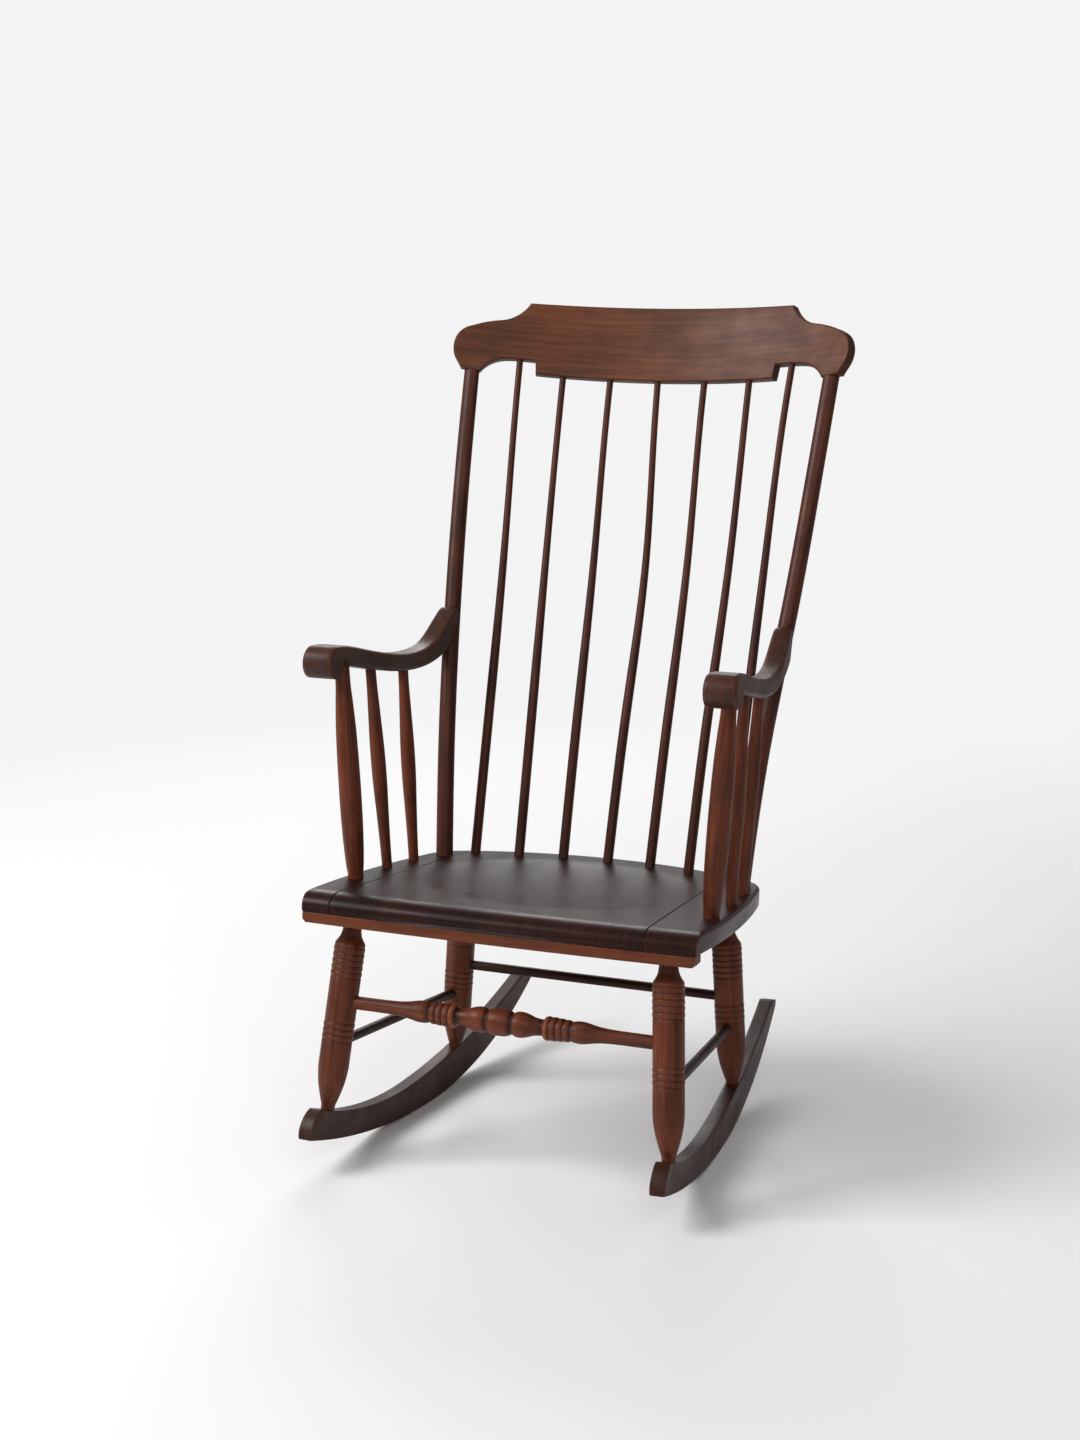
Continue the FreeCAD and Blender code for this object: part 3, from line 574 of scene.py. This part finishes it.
def arm_supports():
    """Arm posts, thickest below the middle, and the two spindles behind them, thickest in the middle."""
    place, head = ARM_POST_LINE
    foot, head = seat_foot(*place), np.array(head)
    length = np.linalg.norm(head - foot)
    knots = [(-4, 10.2), (4, 10.3), (18, 11.7), (44, 13.3), (84, 14.4), (115, 14.6), (146, 14.4),
             (194, 13.5), (232, 11.6), (262, 9.8), (length + 8, 9.6)]
    along = np.linspace(-4, length + 8, 90)
    for side, flip in SIDES:
        turned_piece("turned_arm_post_" + side, along, eased(knots, along), foot, head,
                     ["arm_post_" + side], 17 + flip, around=44, flip=flip)
    for log, (where, (place, head)) in zip((21, 23), ARM_SPINDLE_LINES.items()):
        foot, head = seat_foot(*place), np.array(head)
        length = np.linalg.norm(head - foot)
        knots = [(-4, 6.9), (12, 6.95), (0.27 * length, 8.3), (0.44 * length, 9.7), (0.52 * length, 9.9),
                 (0.6 * length, 9.7), (0.77 * length, 8.3), (length - 14, 6.95), (length + 8, 6.9)]
        along = np.linspace(-4, length + 8, 70)
        for side, flip in SIDES:
            name = "arm_spindle_%s_%s" % (where, side)
            turned_piece("turned_" + name, along, eased(knots, along), foot, head, [name], log + flip,
                         around=36, flip=flip)


# Bent sticks

def bent_piece(name, line, width_at, depth_at, nodes, log, around, flip=False):
    """A steamed and bent stick: ellipses along a spline, carried a little into the seat and the crest."""
    into_seat, into_crest = 4, 3
    points = back_line(line)
    first, last = unit(points[1] - points[0]), unit(points[-1] - points[-2])
    centres, ways, place = bent_line(points, 90)
    centres = np.concatenate([[centres[0] - first * into_seat], centres, [centres[-1] + last * into_crest]])
    ways = np.concatenate([ways[:1], ways, ways[-1:]])
    share = np.concatenate([[0.0], place / place[-1], [1.0]])
    along = np.concatenate([[-into_seat], place, [place[-1] + into_crest]])
    width, depth = width_at(share), depth_at(share)
    grid = round_bar(centres, ways, width, depth, around)
    turn = np.linspace(0, 2 * math.pi, around, endpoint=False)
    grain = np.stack([width[:, None] * np.cos(turn), depth[:, None] * np.sin(turn),
                      np.broadcast_to(along[:, None], (len(along), around))], axis=-1)
    wear_and_shade = np.clip(0.3 + 0.25 * np.sin(share * 9), 0, 1)[:, None]
    skin(name, sided(grid, flip), grain, wear_and_shade, STICK_FINISH, nodes, log)


def sticks():
    """Two back posts, flattened towards the crest, and seven spindles, thinner towards it."""
    def post_width(share):
        return 11.8 - 0.6 * share

    def post_depth(share):
        return post_width(share) - (post_width(share) - CREST_THICKNESS / 2) * share ** 4

    def waist(share):
        return eased([(0, 7.0), (0.33, 6.7), (0.5, 5.9), (0.68, 5.0), (0.8, 4.65), (1.0, 4.6)], share)

    for side, flip in SIDES:
        bent_piece("bent_back_post_" + side, POST_LINE, post_width, post_depth, ["back_post_" + side],
                   31 + flip, 40, flip)
    for number, line in enumerate(SPINDLE_LINES, start=1):
        for flip in (False, True) if number < 4 else (False,):
            node = "back_spindle_%d" % (number if flip or number == 4 else 8 - number)
            bent_piece("bent_" + node, line, waist, waist, [node], 33 + 2 * number + flip, 24, flip)


# Crest

def crest():
    """Flat outline, sawn with eased edges, then bent: its upper and lower lines run from tip to tip."""
    def crown(x):
        return np.stack([x, 49.5 - 3.5 * (x / 197.7) ** 2], axis=1)

    tab = np.linspace(0, 176.5, 50)
    step = np.array([[177.2, 46.7], [178.0, 46.7], [179.4, 46.65], [180.2, 46.6]])
    upper = joined(crown(tab), step, crown(np.linspace(182, 197.3, 10)), [(197.7, 46.0)],
                   arc((198.0, 45.4), (212, 28), (236, 16.2), 24),
                   arc((236, 16.2), (258, 10.7), (277, 3), 20), arc((277, 3), (299.3, -22), (292, -49), 40),
                   [(290, -52.2), (288, -55), (286, -58), (284.6, -60.4)])
    shoulder = np.linspace(198.3, 222, 24)
    lower = joined(np.stack([tab, np.full(50, -58.5)], axis=1),
                   [(177.5, -58.5), (177.9, -55), (179.8, -40), (180.2, -39)],
                   np.stack([np.linspace(182, 198, 11), np.full(11, -39.0)], axis=1),
                   np.stack([shoulder, -39.0 - 1.5 * ((shoulder - 198) / 24) ** 2], axis=1),
                   arc((222, -40.5), (243, -48), (257.5, -63), 20),
                   np.linspace((258.2, -62.9), (284.0, -61.0), 43))
    upper, lower = (np.concatenate([line[:0:-1] * np.array([-1.0, 1.0]), line]) for line in (upper, lower))
    near = np.zeros(len(upper))
    grid, _ = sawn_bar(upper, lower, near, near + CREST_THICKNESS, 3.0, corner=6, straight=5)
    # Low across the middle of the narrow edges and ends, where CREST_FINISH paints shade; the front and back
    # faces rub
    off_middle = np.abs(grid[..., 2] / CREST_THICKNESS - 0.5)
    wear_and_shade = np.clip((off_middle - 0.3) / 0.2, 0, 1) * 0.45
    place = on_crest(grid[..., 0], grid[..., 1], grid[..., 2])
    skin("bent_crest_rail", place, grid[..., [1, 2, 0]], wear_and_shade, CREST_FINISH, ["crest_rail"], 51)


# Arms

def arms():
    """Side outline of the arm, upper and lower lines from the post to the scroll, as (y, z)."""
    top, _, _ = bent_line([(115, 668.5), (97.5, 656), (80, 643.6), (56, 632.4), (29, 628.5), (-35, 632.3),
                           (-66, 638), (-98, 645), (-134, 654), (-170, 662.9), (-190, 666.4),
                           (-204, 667.5)], 100)
    under, _, _ = bent_line([(119.2, 625), (97, 615.5), (70, 607.8), (29, 603.5), (-20, 606), (-71, 614),
                             (-120, 625), (-168, 635.8)], 94)
    nose = arc((-204, 667.5), (-227.4, 642), (-206, 625), 44)[1:]
    curl = arc((-191, 646.4), (-190.6, 634), (-205.6, 625.1), 44)[1:]
    upper = joined([(133.5, 670.5), (130, 672.6), (125, 673.2), (120, 671.6)], top, nose)
    under = joined(under, arc((-168, 635.8), (-181, 640), (-190.2, 646.6), 9))
    lower = joined(spread(under, len(upper) - len(curl)), curl)
    behind_tip = (upper[:, 0] + lower[:, 0]) / 2 - SCROLL_TIP
    near, far = (x - draw * behind_tip for x, draw in ARM_FACES)
    grid, corners = sawn_bar(upper, lower, near, far, ARM_ROUND, corner=8, straight=6)
    place = grid[..., [2, 0, 1]]
    front = np.clip((-150 - grid[..., 0]) / 60, 0, 1) * np.clip((grid[..., 1] - 640) / 24, 0, 1)
    wear_and_shade = np.clip(corners * 0.9 + 0.25 + 0.5 * front, 0, 1)
    for side, flip in SIDES:
        skin("sawn_arm_" + side, sided(place, flip), grid[..., [2, 1, 0]], wear_and_shade, ARM_FINISH,
             ["arm_" + side], 53 + flip)


# Rockers

def rockers():
    """Planks on edge between the running edge and the upper edge, thinned a little at both tips."""
    upper = joined(NOSE, spread(UPPER_EDGE, 110), spread(TAIL, 14))
    lower = np.stack([upper[:, 0], np.minimum(running_edge(upper[:, 0]), upper[:, 1] - 0.05)], axis=1)
    half = ROCKER_THICKNESS / 2 - 1.5 * np.clip(1 - (upper - lower)[:, 1] / 10, 0, 1)
    grid, wear_and_shade = sawn_bar(upper, lower, -half, half, 1.8)
    place = (FRONT_FOOT * np.array([1.0, 1.0, 0.0]) + grid[..., :1] * ROCKER_ALONG
             + grid[..., 2:] * ROCKER_ACROSS + grid[..., 1:2] * np.array([0.0, 0.0, 1.0]))
    for side, flip in SIDES:
        skin("sawn_rocker_" + side, sided(place, flip), grid[..., [2, 1, 0]], wear_and_shade, ROCKER_FINISH,
             ["rocker_" + side], 55 + flip)


# Seat

FRONT_LINE = arc((-265, 7), (0, 0), (265, 7), 90)
SIDE_LINE = arc((265, 7), (260.5, 215), (236, 371), 120)
BACK_LINE = arc((236, 371), (0, SEAT_DEPTH), (-236, 371), 400)


def rounded_corner(first, second, radius):
    """First line, then an arc of the given radius that touches both, then the second line."""
    a, b = (line + radius * unit(np.stack([-np.gradient(line[:, 1]), np.gradient(line[:, 0])], axis=1))
            for line in (first, second))
    apart = np.linalg.norm(a[:, None] - b[None], axis=2)
    i, j = np.unravel_index(apart.argmin(), apart.shape)
    centre = (a[i] + b[j]) / 2
    middle = centre + radius * unit((first[i] - centre) + (second[j] - centre))
    return joined(first[:i], arc(first[i], middle, second[j], 50), second[j + 1:])


RIGHT_RIM = rounded_corner(SIDE_LINE, BACK_LINE, CORNER_RADIUS)
RIGHT_RIM = RIGHT_RIM[RIGHT_RIM[:, 0] >= -1e-6]
LEFT_RIM = RIGHT_RIM[::-1][RIGHT_RIM[::-1][:, 0] > 1e-6] * np.array([-1.0, 1.0])
RIM = np.concatenate([RIGHT_RIM, LEFT_RIM])


def rim_distance(x, v):
    """Distance from points of the seat's plan to its sides and back."""
    points = np.stack([x.ravel(), v.ravel()], axis=1)
    start, reach = RIM[:-1], np.diff(RIM, axis=0)
    share = np.clip(((points[:, None] - start) * reach).sum(2) / (reach ** 2).sum(1), 0, 1)
    away = np.linalg.norm(points[:, None] - start - share[..., None] * reach, axis=2)
    return away.min(axis=1).reshape(x.shape)


def rounded_off(away, radius):
    """Drop of a quarter-circle edge at a distance from it."""
    return radius - np.sqrt(radius ** 2 - np.clip(radius - away, 0, radius) ** 2)


def seat_top(x, v, rim, front, crack):
    """Upper face: flat, with a shallow elliptical dish, an elliptical roll at the front, and edges
    eased at the rim and along the joints between the boards."""
    bowl = 1 - (x / DISH_HALF_SIZE[0]) ** 2 - ((v - DISH_CENTRE) / DISH_HALF_SIZE[1]) ** 2
    faded = np.where(bowl > -DISH_EDGE, (bowl + DISH_EDGE) ** 2 / (4 * DISH_EDGE), 0)
    dish = DISH_DEPTH * np.where(bowl > DISH_EDGE, bowl, faded)
    turn = np.clip(1 - front / FRONT_ROLL_LENGTH, 0, 1)
    roll = FRONT_ROLL * (1 - np.sqrt(1 - turn ** 2))
    return -dish - np.maximum(roll, rounded_off(rim, RIM_ROUND)) - rounded_off(crack, JOINT_ROUND)


def joint_x(joint, v):
    return joint[0] + (joint[1] - joint[0]) * v / SEAT_DEPTH


def front_v(x):
    return np.interp(x, FRONT_LINE[:, 0], FRONT_LINE[:, 1])


def back_v(x):
    """Where the rim crosses x behind the widest part."""
    behind = RIM[RIM[:, 1] > WIDEST_V]
    order = np.argsort(behind[:, 0])
    return np.interp(x, behind[order, 0], behind[order, 1])


def board(name, x, v, crack, nodes, log):
    """A board from the plan of its upper face: rows from front to back, that face first, then the
    under face. crack is the distance from the joint."""
    rim = rim_distance(x, v)
    front = v - front_v(x)
    top = seat_top(x, v, rim, front, crack)
    under = np.minimum(rounded_off(rim, UNDER_ROUND) - SEAT_THICKNESS, top - 0.02)
    grid = np.concatenate([on_seat(x, v, top), on_seat(x, v, under)[:, ::-1]], axis=1)
    level = np.concatenate([np.zeros_like(x), np.full_like(x, -SEAT_THICKNESS)], axis=1)
    across, along = (np.concatenate([plan, plan[:, ::-1]], axis=1) for plan in (x, v))
    edge = np.clip(1 - np.abs(rim - 3) / 5, 0, 1) * 0.7 + np.clip(1 - np.abs(front - 26) / 10, 0, 1) * 0.25
    wear_and_shade = np.concatenate([edge, np.zeros_like(edge)], axis=1)
    skin(name, grid, np.stack([across, level, along], axis=-1), wear_and_shade, SEAT_FINISH, nodes, log)


def seat():
    """Three boards, whose rows run from the front line to the rim behind. Each joint is a fine open crack."""
    from_front = np.array([0, 0.25, 0.9, 2.0, 3.6, 5.6, 8, 10.5, 13, 15.5, 18, 21, 24, 27]) / SEAT_DEPTH
    to_back = 1 - np.array([9, 6.5, 4.8, 3.4, 2.2, 1.2, 0.5, 0.12, 0]) / SEAT_DEPTH
    rows = np.concatenate([from_front, np.linspace(0.07, 0.955, 84), to_back])
    near_joint = np.array([0, 0.15, 0.4, 0.8, 1.3, 2.2])

    width = RIGHT_JOINT[0] - LEFT_JOINT[0]
    shares = np.concatenate([near_joint / width, np.linspace(0.01, 0.99, 108), 1 - near_joint[::-1] / width])
    v = rows[:, None] * SEAT_DEPTH * np.ones_like(shares)
    for _ in range(4):
        left, right = joint_x(LEFT_JOINT, v) + JOINT_GAP, joint_x(RIGHT_JOINT, v) - JOINT_GAP
        x = left * (1 - shares) + right * shares
        v = front_v(x) + (back_v(x) - front_v(x)) * rows[:, None]
    crack = np.minimum(x - joint_x(LEFT_JOINT, v), joint_x(RIGHT_JOINT, v) - x) - JOINT_GAP
    board("board_seat_centre", x, v, crack, ["seat_centre_board"], 57)

    side_width = 66.0  # of a side board at the front line
    shares = np.concatenate([near_joint / side_width, np.linspace(0.05, 0.8, 22),
                             [0.86, 0.9, 0.93, 0.955, 0.972, 0.984, 0.993, 0.998, 1.0]])
    for side, sign, (start, end), log in (("right", 1, RIGHT_JOINT, 59), ("left", -1, LEFT_JOINT, 61)):
        line = (sign * start + JOINT_GAP, sign * end + JOINT_GAP)
        reach = np.linspace(0, SEAT_DEPTH, 4000)
        first, last = front_v(line[0]), reach[np.argmin(np.abs(reach - back_v(joint_x(line, reach))))]
        inner_v = first + (last - first) * rows
        inner = np.stack([joint_x(line, inner_v), inner_v], axis=1)
        past_joint = (RIM[:, 0] < joint_x(line, last) + 0.6) & (RIM[:, 1] > WIDEST_V)
        rim = RIM[: np.argmax(past_joint)]
        place = np.concatenate([[0.0], np.cumsum(np.linalg.norm(np.diff(rim, axis=0), axis=1))])
        outer = np.stack([np.interp(rows * place[-1], place, rim[:, k]) for k in range(2)], axis=1)
        plan = inner[:, None] + (outer - inner)[:, None] * shares[:, None]
        x, v = plan[..., 0], plan[..., 1]
        board("board_seat_" + side, sign * x, v, x - joint_x(line, v), ["seat_%s_board" % side], log)


def front_strip():
    """Flat strip under the front edge, bowed like it, with its lower ends eased."""
    x = np.concatenate([np.linspace(-264, -258, 7), np.linspace(-250, 250, 60), np.linspace(258, 264, 7)])
    top = np.stack([x, np.full_like(x, -SEAT_THICKNESS - 0.05)], axis=1)
    low = np.stack([x, STRIP_BOTTOM + np.clip(np.abs(x) - 260, 0, 4)], axis=1)
    near = 7.0 * (x / 264.0) ** 2
    grid, _ = sawn_bar(top, low, near, near + STRIP_DEPTH, 1.5)
    place = on_seat(grid[..., 0], grid[..., 2], grid[..., 1])
    skin("front_strip", place, grid[..., [1, 2, 0]], 0.45, STRIP_FINISH,
         ["seat_front_strip"], 63)


# Room, light and camera

def stage():
    """A pale floor that keeps the chair's shadow and fades into the background away from it."""
    material = bpy.data.materials.new("pale floor")
    f = Graph(material)
    ground = f.node("ShaderNodeTexCoord", output="Object")
    colour = f.blend(f.noise(ground, 1.6, 3.0, 0.5) * 0.5, tone(250, 249, 249), tone(244, 243, 243))
    away = f.node("ShaderNodeVectorMath", {"operation": "LENGTH"}, (ground,), output="Value")
    shader = f.node("ShaderNodeBsdfPrincipled", {}, {
        "Base Color": colour, "Roughness": 0.8, "Specular IOR Level": 0.2,
        "Alpha": f.between(away, 1.3, 3.2, 1.0, 0.0)})
    f.node("ShaderNodeOutputMaterial", {}, (shader,))
    mesh = bpy.data.meshes.new("floor")
    mesh.from_pydata([(-4, -4, 0), (4, -4, 0), (4, 4, 0), (-4, 4, 0)], [], [(0, 1, 2, 3)])
    mesh.materials.append(material)
    floor = bpy.data.objects.new("floor", mesh)
    bpy.context.scene.collection.objects.link(floor)


def world():
    """Soft light from all round for the chair, and a plain pale background for the camera."""
    studio = bpy.data.worlds.new("studio")
    bpy.context.scene.world = studio
    f = Graph(studio)
    seen_by_camera = f.node("ShaderNodeLightPath", output="Is Camera Ray")
    light = f.node("ShaderNodeBackground", {}, ((1.0, 1.0, 1.0, 1), 0.3))
    backdrop = f.node("ShaderNodeBackground", {}, ((0.9, 0.9, 0.905, 1), 1.0))
    either = f.node("ShaderNodeMixShader", {}, (seen_by_camera, light, backdrop))
    f.node("ShaderNodeOutputWorld", {}, (either,))


def place_in_scene(name, data, place, direction):
    holder = bpy.data.objects.new(name, data)
    holder.location = place
    holder.rotation_euler = Vector(direction).to_track_quat("-Z", "Y").to_euler()
    bpy.context.scene.collection.objects.link(holder)
    return holder


def lamp(name, place, target, size, power):
    light = bpy.data.lights.new(name, "AREA")
    light.shape, light.energy = "RECTANGLE", power
    light.size, light.size_y = size
    place_in_scene(name, light, place, Vector(target) - Vector(place))


def camera():
    eye = bpy.data.cameras.new("camera")
    eye.lens, eye.sensor_width, eye.sensor_fit = 57.344, 36.0, "AUTO"
    eye.shift_y = -0.0014
    holder = place_in_scene("camera", eye, (1.0897, -2.7931, 1.1488), (-0.3722, 0.9075, -0.1945))
    bpy.context.scene.camera = holder


seat()
front_strip()
legs()
stretchers()
rockers()
arm_supports()
arms()
sticks()
crest()
stage()
world()
lamp("key", (-2.8, -2.2, 3.1), (0, -0.2, 0.4), (2.0, 2.0), 150)
lamp("window", (-1.6, 3.4, 2.5), (0, 0, 0.45), (2.4, 1.6), 66)
lamp("fill", (1.6, -3.4, 2.6), (0, -0.9, 0.1), (2.4, 2.4), 34)
camera()
bpy.context.scene.view_settings.view_transform = "Standard"
